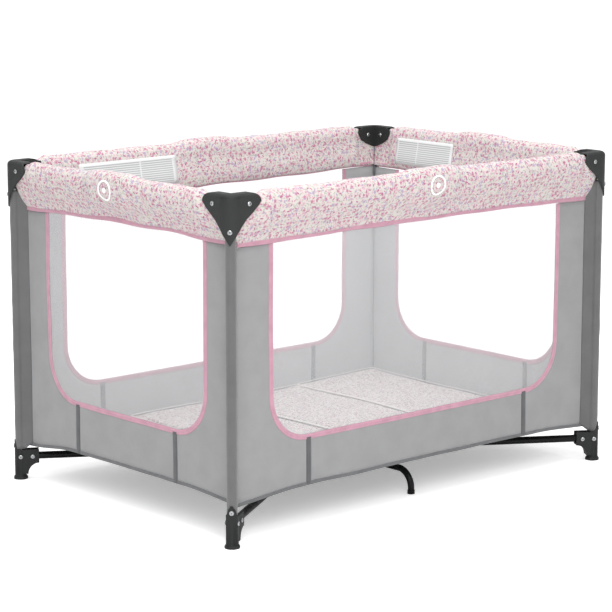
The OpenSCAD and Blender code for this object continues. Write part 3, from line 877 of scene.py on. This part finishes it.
def skirt_handles(where, s, section, leave, face):
    """Places and handles (d, z) of the free curve in which a skirt hangs from the roll."""
    d0, z0 = roll_point(section, -leave if face < 0 else math.pi + leave)
    d0 = d0 + face * 0.4 * MM
    d3 = WALL_D + face * (2.2 * MM if face < 0 else TRIM_T / 2 + 0.8 * MM)
    z3 = trim_height(where, s) + (TRIM_SHOWS if face < 0 else -INNER_LAP)
    gap = np.hypot(d3 - d0, z3 - z0)
    d1 = d0 - face * np.sin(leave) * UPPER_LEAN * gap
    d2 = d3 - LOWER_STANDS_OFF * gap
    if face > 0:
        # Near a corner the inner skirt stays behind the corner cover before it hangs free.
        open_part = clear_of_shield(where, s)
        d2 = d3 + LOWER_STANDS_OFF * gap * open_part - HELD_BACK * (1 - open_part)
    return (d0, d1, d2, d3), (z0, z0 - UPPER_HANDLE * gap, z3 + LOWER_HANDLE * gap, z3)


def skirt_points(where, s, face):
    """(d, z, t) of the outer (face -1) or inner (face 1) half of a skirt below the roll."""
    section = roll_section(where, s)
    leave = SKIRT_LEAVES * section[4] if face < 0 else 0 * s
    handles = skirt_handles(where, s, section, leave, face)
    rows = []
    for share in np.arange(SKIRT_ROWS) / (SKIRT_ROWS - 1):
        if share < ON_ROLL:
            k = share / ON_ROLL
            turn = SKIRT_HIDDEN - (leave + SKIRT_HIDDEN) * k
            d, z = roll_point(section, turn if face < 0 else math.pi - turn)
            rows.append((d - face * (0.7 - 1.1 * k) * MM, z))
        else:
            k = (share - ON_ROLL) / (1 - ON_ROLL)
            weights = (1 - k) ** 3, 3 * k * (1 - k) ** 2, 3 * k * k * (1 - k), k**3
            rows.append([sum(w * v for w, v in zip(weights, line)) for line in handles])
    d, z = np.array(rows).swapaxes(0, 1)
    step = np.hypot(np.diff(d, axis=0), np.diff(z, axis=0))
    run = np.concatenate([np.zeros((1, len(s))), np.cumsum(step, axis=0)])
    t = (SKIRT_HIDDEN - leave) * PRINT_R - run
    if face > 0:
        t = math.pi * PRINT_R - t
    return d, z, t


def skirt_depth(where, s, z, face):
    """d of a skirt's face at heights z, with a column for each place s."""
    d, heights, _ = skirt_points(where, s, face)
    columns = range(len(s))
    return np.stack([np.interp(z, heights[::-1, c], d[::-1, c]) for c in columns], -1)


def make_skirt(where, face):
    """The hanging part of a rail cover, from the roll down to the trim, on one face."""
    half = where.half
    share = np.linspace(-1, 1, 241 if half > LEG_Y else 181)
    s = share * (half - (SKIRT_END if face < 0 else WALL_D + 0.5 * MM))
    d, z, t = skirt_points(where, s, face)
    edge = COVER_Z + cover_lift(where, s)
    low = smooth_step(edge + DRAWN_IN - z, 0, 22 * MM)
    # The inner skirts meet at the corners, and the outer ones end beside the leg.
    meet = d - WALL_D if face > 0 else low * END_PULL
    pull = meet * np.abs(share) ** END_POWER
    ss = np.broadcast_to(s, d.shape) - np.sign(share) * pull
    fade = smooth_step(half - np.abs(ss), SHIELD_LEN, SHIELD_LEN + 12 * MM)
    hang = smooth_step(RAIL_Z - z, -5 * MM, 40 * MM) * smooth_step(z, edge, edge + 20 * MM)
    push = creases(where, ss, t) * fade + hang * fade * waves(ss, z * 0.5, 71, 70 * MM, 0.8 * MM)
    free = smooth_step(z, edge + FOLDS_FROM, edge + FOLDS_FULL)
    points = on_side(where, ss, d + face * push * free, z)
    pattern = np.stack([ss, t, 0 * t], -1)
    side_name = "outer" if face < 0 else "inner"
    piece = sheet(f"rail_skirt_{where.name}_{side_name}", points, FLORAL, pattern, SKIRT_T)
    return piece


def make_trim(where):
    s = np.linspace(-1, 1, 161) * (where.half - 27 * MM)
    piece = ribbon("trim_" + where.name, where, np.stack([s, trim_height(where, s)], 1),
                   TRIM_W, TRIM_T, PINK)
    return piece


def make_ring(where):
    """A plain ring with a dot: where to press, printed over the latch."""
    verts, faces, pattern = [], [], []
    for inner, outer, count in PRESS_MARK:
        base = len(verts)
        rings = np.linspace(inner, outer, 4)
        for r in rings:
            for k in range(count):
                a = math.tau * k / count
                s, z = r * math.cos(a), RAIL_Z - MARK_DROP + r * math.sin(a)
                d = outer_face(where, s, z) - 1.6 * MM
                verts.append(on_side(where, np.array(s), np.array(d), np.array(z)))
                pattern.append((s, z, 0))
        for f in grid_faces(len(rings), count, wrap=True):
            faces.append(tuple(base + i for i in f))
    piece = new_object("press_mark_" + where.name, verts, faces, WHITE, pattern)
    thicken(piece, 1.4 * MM)
    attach(piece, where.latch)


def outer_face(where, s, z):
    """d of the outer face of a rail cover, roll or skirt, at a height."""
    section = [float(v[0]) for v in roll_section(where, np.array([s]))]
    rise = section[2] if z > RAIL_Z else section[3]
    share = min(1, abs(z - RAIL_Z) / rise) ** (1 / (1 - SQUARE * section[4]))
    turn = math.copysign(math.asin(share), z - RAIL_Z)
    d, _ = roll_point(section, turn)
    push = float(creases(where, np.array(s), np.array(turn * PRINT_R)))
    hang = float(skirt_depth(where, np.array([s]), z, -1)[0])
    return min(float(d), hang) - max(push, 0)


def make_label(where, name, middle, width):
    """A sewn label on the inner face of a rail cover."""
    s = np.linspace(-width / 2, width / 2, 25) + middle
    z = np.linspace(LABEL_LOW, LABEL_HIGH, 9)
    ss, zz = np.meshgrid(s, z)
    points = on_side(where, ss, skirt_depth(where, s, z, 1) + 1.3 * MM, zz)
    pattern = np.stack([ss - middle, zz - (LABEL_LOW + LABEL_HIGH) / 2, 0 * ss], -1)
    look = label_print("label_" + name, width, LABEL_HIGH - LABEL_LOW)
    piece = sheet("label_" + name, points, look, pattern, 0.5 * MM)
    return piece


# ---- Leg sleeves ----

SLEEVE_R = LEG_R + 0.8 * MM
SLEEVE_LOW = 68 * MM
NECK_LOW = 80 * MM
SLEEVE_HIGH = 636 * MM
# Where the necks leave the tube: 1 is flush with its outer side, 0 its nearest point.
SLEEVE_TUCK = 0.5
# The cloth is loose round the tube, and taut from this distance out.
TAUT_FROM = 30 * MM
TAUT_OVER = 14 * MM
SEAM_R = 2.7 * MM


def make_sleeve(name, sx, sy):
    """Dark cloth wrapped round a leg, with a neck on each side to the fabric walls."""
    reach = math.hypot(WALL_FROM_LEG, WALL_D)
    lean = math.atan2(WALL_D, WALL_FROM_LEG) - SLEEVE_TUCK * math.acos(SLEEVE_R / reach)
    first = np.array([WALL_FROM_LEG + 1 * MM, WALL_D])
    touch = SLEEVE_R * np.array([math.cos(lean), math.sin(lean)])
    neck = [first + (touch - first) * k for k in np.linspace(0, 1, 7)[:-1]]
    arc = np.linspace(lean, -0.75 * math.pi, 14)
    path = neck + [SLEEVE_R * np.array([math.cos(a), math.sin(a)]) for a in arc]
    path = np.array(path + [p[::-1] for p in reversed(path[:-1])])
    run = np.concatenate([[0], np.cumsum(np.linalg.norm(np.diff(path, axis=0), axis=1))])
    share, rr = np.meshgrid(np.linspace(0, 1, 90), run, indexing="ij")
    away = smooth_step(np.hypot(path[:, 0], path[:, 1]), SLEEVE_R, reach)[None]
    low = SLEEVE_LOW + (NECK_LOW - SLEEVE_LOW) * away
    zz = low + (SLEEVE_HIGH - low) * share
    puff = 1 + waves(zz, rr, 81 + len(name) + int(sx - sy), 60 * MM, 0.4 * MM) / SLEEVE_R
    gather = 1 + 0.03 * smooth_step(low + 8 * MM - zz, 0, 8 * MM)
    near = smooth_step(TAUT_FROM - np.hypot(path[:, 0], path[:, 1]), 0, TAUT_OVER)[None]
    grow = 1 + (np.maximum(puff * gather, 1) - 1) * near
    x = path[None, :, 0] * grow
    y = path[None, :, 1] * grow
    points = np.stack([sx * (LEG_X - x), sy * (LEG_Y - y), zz], -1)
    pattern = np.stack([rr, zz, 0 * rr], -1)
    piece = sheet("leg_sleeve_" + name, points, DARK_GREY, pattern, 0.9 * MM)
    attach(piece, "leg_" + name)


def make_corner_seam(name, sx, sy):
    """The dark corded seam where two walls meet inside a leg."""
    z = np.linspace(HEM_Z, RAIL_Z - ROLL_DOWN, 60)
    steps = 10
    turn = np.linspace(0, math.tau, steps, endpoint=False)[None]
    wander = waves(z, 0 * z, 85 + len(name) + int(sx + 2 * sy), 160 * MM, 0.4 * MM)[:, None]
    side_end = np.array([SIDES[0].half - WALL_D])
    behind = skirt_depth(SIDES[0], side_end, z, 1)[:, 0]
    centre = WALL_D + (behind - WALL_D) * smooth_step(z, COVER_Z - 15 * MM, COVER_Z)
    x = centre[:, None] + SEAM_R * np.cos(turn) + wander
    y = centre[:, None] + SEAM_R * np.sin(turn) + wander
    points = np.stack(np.broadcast_arrays(sx * (LEG_X - x), sy * (LEG_Y - y), z[:, None]), -1)
    pattern = np.stack(np.broadcast_arrays(z[:, None], SEAM_R * turn, 0.0), -1)
    piece = new_object("corner_seam_" + name, points, tube_faces(len(z), steps), HEM, pattern)
    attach(piece, "leg_" + name)


# ---- Mattress pad and floor sheet ----

# How far a panel's cage stands in from its box before it swells.
PAD_SHRINK = 1.2 * MM
CAGE_STEP = 9 * MM
PUFF_CAP = 9 * MM
# The crown's height, and the height below which the side of a panel stays as it swelled, as
# shares of half the panel's thickness.
CROWN = 0.98
SIDE_BAND = 0.55
CORD_R = 1.5 * MM
CORD_IN = 1.3 * MM
CORD_DOWN = 1.6 * MM
CORD_STEP = 12 * MM
PANEL_R = 9 * MM
SHEET_EDGE = 5 * MM


def box_cage(lo, hi, step):
    """A closed box of small quads, welded at its edges."""
    work = bmesh.new()
    size = [hi[i] - lo[i] for i in range(3)]
    counts = [max(2, round(size[i] / step)) for i in range(3)]
    for axis in range(3):
        u, v = (axis + 1) % 3, (axis + 2) % 3
        for end in (lo[axis], hi[axis]):
            grid = {}
            for i in range(counts[u] + 1):
                for j in range(counts[v] + 1):
                    place = [0.0, 0.0, 0.0]
                    place[axis] = end
                    place[u] = lo[u] + size[u] * i / counts[u]
                    place[v] = lo[v] + size[v] * j / counts[v]
                    grid[i, j] = work.verts.new(place)
            for i in range(counts[u]):
                for j in range(counts[v]):
                    work.faces.new((grid[i, j], grid[i + 1, j],
                                    grid[i + 1, j + 1], grid[i, j + 1]))
    bmesh.ops.remove_doubles(work, verts=work.verts, dist=1e-6)
    bmesh.ops.recalc_face_normals(work, faces=work.faces)
    mesh = bpy.data.meshes.new("cage")
    work.to_mesh(mesh)
    work.free()
    return mesh


def puffed(mesh, cap):
    """Swells a closed mesh as cloth under pressure and returns its points."""
    piece = link(bpy.data.objects.new("puffing", mesh))
    rest = np.array([v.co for v in mesh.vertices])
    modifier = piece.modifiers.new("cloth", "CLOTH")
    modifier.settings.use_pressure = True
    modifier.settings.uniform_pressure_force = 4
    modifier.settings.effector_weights.gravity = 0
    modifier.settings.quality = 5
    modifier.point_cache.frame_end = 20
    for number in range(1, 21):
        bpy.context.scene.frame_set(number)
    graph = bpy.context.evaluated_depsgraph_get()
    done = piece.evaluated_get(graph).data
    moved = np.array([v.co for v in done.vertices])
    bpy.context.scene.frame_set(1)
    bpy.data.objects.remove(piece)
    shift = moved - rest
    size = np.linalg.norm(shift, axis=1)
    limit = np.minimum(1, cap / np.maximum(size, 1e-9))
    return rest + shift * limit[:, None]


def lifted(x, y):
    """The mattress lies a little uneven, and rides up in the back right corner."""
    corner = smooth_step(x / LEG_X + y / LEG_Y, 1.1, 2.0)
    return waves(x, y, 95, 420 * MM, 1.6 * MM) + 7 * MM * corner


def fold_with_pad(piece, node):
    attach(piece, node)
    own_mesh(piece)


def panel_shape(half):
    """Points and faces of one swollen panel of half this size, about its middle."""
    cage = box_cage([PAD_SHRINK - v for v in half], [v - PAD_SHRINK for v in half], CAGE_STEP)
    faces = [tuple(p.vertices) for p in cage.polygons]
    shape = puffed(cage, PUFF_CAP)
    for axis, limit in enumerate(half):
        shape[:, axis] = np.clip(shape[:, axis], -limit, limit)
    # The underside rests flat, and the top stays close to level between its edges.
    height = shape[:, 2]
    crown = height * (half.z * CROWN / max(height.max(), 1e-6))
    level = np.where(height > 0, crown, -half.z)
    shape[:, 2] = np.where(np.abs(height) < half.z * SIDE_BAND, height, level)
    return shape, faces


def make_pads():
    """Four mattress panels, one simulated shape turned four ways, with corded edges."""
    lo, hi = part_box("pad_left")
    shape, faces = panel_shape((hi - lo) / 2)
    turns = {"pad_left_end": (1, 1, 1), "pad_left": (-1, 1, 1), "pad_right": (1, -1, 1),
             "pad_right_end": (-1, -1, 1)}
    for index, (node, turn) in enumerate(turns.items()):
        lo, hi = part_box(node)
        centre = np.array((lo + hi) / 2)
        points = shape * turn + centre
        top = smooth_step(points[:, 2], centre[2] - 2 * MM, centre[2] + 2 * MM)
        rumple = waves(points[:, 0], points[:, 1], 91 + index, 110 * MM, 0.5 * MM)
        points[:, 2] += top * (rumple + lifted(points[:, 0], points[:, 1]))
        pattern = points.copy()
        pattern[:, 1] += pattern[:, 2]
        piece = new_object(node + "_cushion", points, faces, SHADED_MATTRESS, pattern)
        subdivide(piece)
        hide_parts(node)
        fold_with_pad(piece, node)
        fold_with_pad(make_piping(node, hi, centre), node)


def rounded_path(x, y, r, step):
    """Points round a rectangle of half size x by y with rounded corners."""
    path = []
    for cx, cy, start in ((x - r, y - r, 0), (-x + r, y - r, 90), (-x + r, -y + r, 180),
                          (x - r, -y + r, 270)):
        for k in range(7):
            a = math.radians(start + 15 * k)
            path.append((cx + r * math.cos(a), cy + r * math.sin(a)))
    filled = []
    for i, p in enumerate(path):
        q = path[(i + 1) % len(path)]
        count = max(1, int(math.dist(p, q) / step))
        filled += [(p[0] + (q[0] - p[0]) * k / count, p[1] + (q[1] - p[1]) * k / count)
                   for k in range(count)]
    return np.array(filled)


def make_piping(node, hi, centre):
    """A sewn cord round the upper edge of a panel."""
    path = rounded_path(hi.x - centre[0] - CORD_IN, hi.y - centre[1] - CORD_IN, PANEL_R, CORD_STEP)
    tangent = np.roll(path, -1, 0) - np.roll(path, 1, 0)
    tangent /= np.linalg.norm(tangent, axis=1)[:, None]
    outward = np.stack([tangent[:, 1], -tangent[:, 0]], 1)
    steps = 8
    height = hi.z - centre[2] - CORD_DOWN
    rise = lifted(path[:, 0] + centre[0], path[:, 1] + centre[1])
    turn = np.linspace(0, math.tau, steps, endpoint=False)
    flat = path[:, None] + outward[:, None] * (CORD_R * np.cos(turn))[None, :, None]
    up = height + rise[:, None] + CORD_R * np.sin(turn)[None]
    points = np.concatenate([flat, up[..., None]], -1) + centre
    count = len(path)
    faces = [tuple(n % (count * steps) for n in face)
             for face in grid_faces(count + 1, steps, wrap=True)]
    run = np.arange(count) * CORD_STEP
    pattern = np.stack(np.broadcast_arrays(run[:, None], turn[None] * CORD_R, 0.0), -1)
    piece = new_object(node + "_piping", points, faces, CORD, pattern)
    return piece


def make_floor_sheets():
    """The grey floor of the play yard, in two halves that tip up with the pad."""
    z = SHEET_HI.z - 0.5 * MM
    for name, start, end in (("left", SHEET_LO.x, -0.5 * MM), ("right", 0.5 * MM, SHEET_HI.x)):
        x = np.linspace(start, end, 60)
        y = np.linspace(SHEET_LO.y, SHEET_HI.y, 80)
        xx, yy = np.meshgrid(x, y)
        sag = waves(xx, yy, 101, 150 * MM, 0.25 * MM) - 0.4 * MM
        edge = np.minimum(SHEET_HI.x - np.abs(xx), SHEET_HI.y - np.abs(yy))
        rise = SHEET_EDGE * (1 - smooth_step(edge, 0, 50 * MM))
        points = np.stack([xx, yy, z + sag + rise], -1)
        piece = sheet("floor_sheet_" + name, points, GREY, points.copy(), 0.9 * MM)
        if name == "left":
            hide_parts("floor_sheet")
        fold_with_pad(piece, "pad_" + name)


# ---- Build ----

# The side each sewn label is on, its name, the place of its middle and its width.
LABELS = [("right", "short", 169.5 * MM, 189 * MM), ("back", "long", -236 * MM, 270 * MM)]

dress_cad()
make_pads()
make_floor_sheets()
for where in SIDES:
    hanging = [make_wall(where), make_net(where)] + make_bindings(where)
    hanging += [make_skirt(where, -1), make_skirt(where, 1), make_trim(where)]
    for on, name, middle, width in LABELS:
        if on == where.name:
            hanging.append(make_label(where, name, middle, width))
    for piece in hanging:
        shrink_with_side(piece, where)
    rolls = [make_roll(where, 0), make_roll(where, 1)]
    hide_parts("rail_cover_" + where.name)
    make_ring(where)
for name, sx, sy in (("fl", -1, -1), ("fr", 1, -1), ("bl", -1, 1), ("br", 1, 1)):
    make_sleeve(name, sx, sy)
    make_corner_seam(name, sx, sy)

# ---- Floor, light and camera ----

FLOOR_GLOW = 0.33
FLOOR_HALF = 60
WORLD_LIGHT = 0.8
WORLD_SEEN = 1.1
CAMERA_PLACE = (-3.349, -3.737, 1.297)
CAMERA_DOWN = 10.495
CAMERA_TURN = 41.737
CAMERA_LENS = 136.65


def make_stage():
    g = Graph("studio_floor")
    patches = g.noise(g.place(), 0.7)
    shade = g.mix(patches, (0.93, 0.93, 0.93, 1), (0.95, 0.95, 0.95, 1))
    surface = g.add("ShaderNodeBsdfDiffuse", {"Color": shade})
    # A glow only the camera sees lightens the shadow and clears the far floor to white.
    seen = g.add("ShaderNodeLightPath").outputs["Is Camera Ray"]
    glow = g.add("ShaderNodeEmission", {"Strength": g.math("MULTIPLY", seen, FLOOR_GLOW)})
    both = g.add("ShaderNodeAddShader", {0: surface.outputs[0], 1: glow.outputs[0]})
    r = FLOOR_HALF
    corners = [(-r, -r, 0), (r, -r, 0), (r, r, 0), (-r, r, 0)]
    mesh = bpy.data.meshes.new("studio_floor")
    mesh.from_pydata(corners, [], [(0, 1, 2, 3)])
    mesh.materials.append(g.finish(both.outputs[0]))
    link(bpy.data.objects.new("studio_floor", mesh))


def make_light(name, place, target, size, power):
    lamp = bpy.data.lights.new(name, "AREA")
    lamp.size = size
    lamp.energy = power
    holder = link(bpy.data.objects.new(name, lamp))
    holder.location = place
    holder.rotation_euler = (Vector(target) - Vector(place)).to_track_quat("-Z", "Y").to_euler()


def make_world():
    world = bpy.data.worlds.new("studio")
    world.use_nodes = True
    tree = world.node_tree
    back = tree.nodes["Background"]
    back.inputs["Color"].default_value = (1, 1, 1, 1)
    path = tree.nodes.new("ShaderNodeLightPath")
    strength = tree.nodes.new("ShaderNodeMapRange")
    strength.inputs["To Min"].default_value = WORLD_LIGHT
    strength.inputs["To Max"].default_value = WORLD_SEEN
    tree.links.new(path.outputs["Is Camera Ray"], strength.inputs["Value"])
    tree.links.new(strength.outputs["Result"], back.inputs["Strength"])
    bpy.context.scene.world = world


def make_camera():
    camera = bpy.data.cameras.new("camera")
    camera.sensor_width = 36
    camera.lens = CAMERA_LENS
    camera.clip_end = 200
    holder = link(bpy.data.objects.new("camera", camera))
    holder.location = CAMERA_PLACE
    holder.rotation_euler = (math.radians(90 - CAMERA_DOWN), 0, -math.radians(CAMERA_TURN))
    bpy.context.scene.camera = holder


make_stage()
make_world()
make_light("key", place=(-2.1, -2.8, 2.5), target=(-0.2, 0, 0.4), size=2.0, power=76)
make_light("top", place=(-0.3, -0.2, 4.0), target=(0.1, 0.1, 0.3), size=3.0, power=110)
make_camera()
bpy.context.scene.view_settings.view_transform = "Standard"
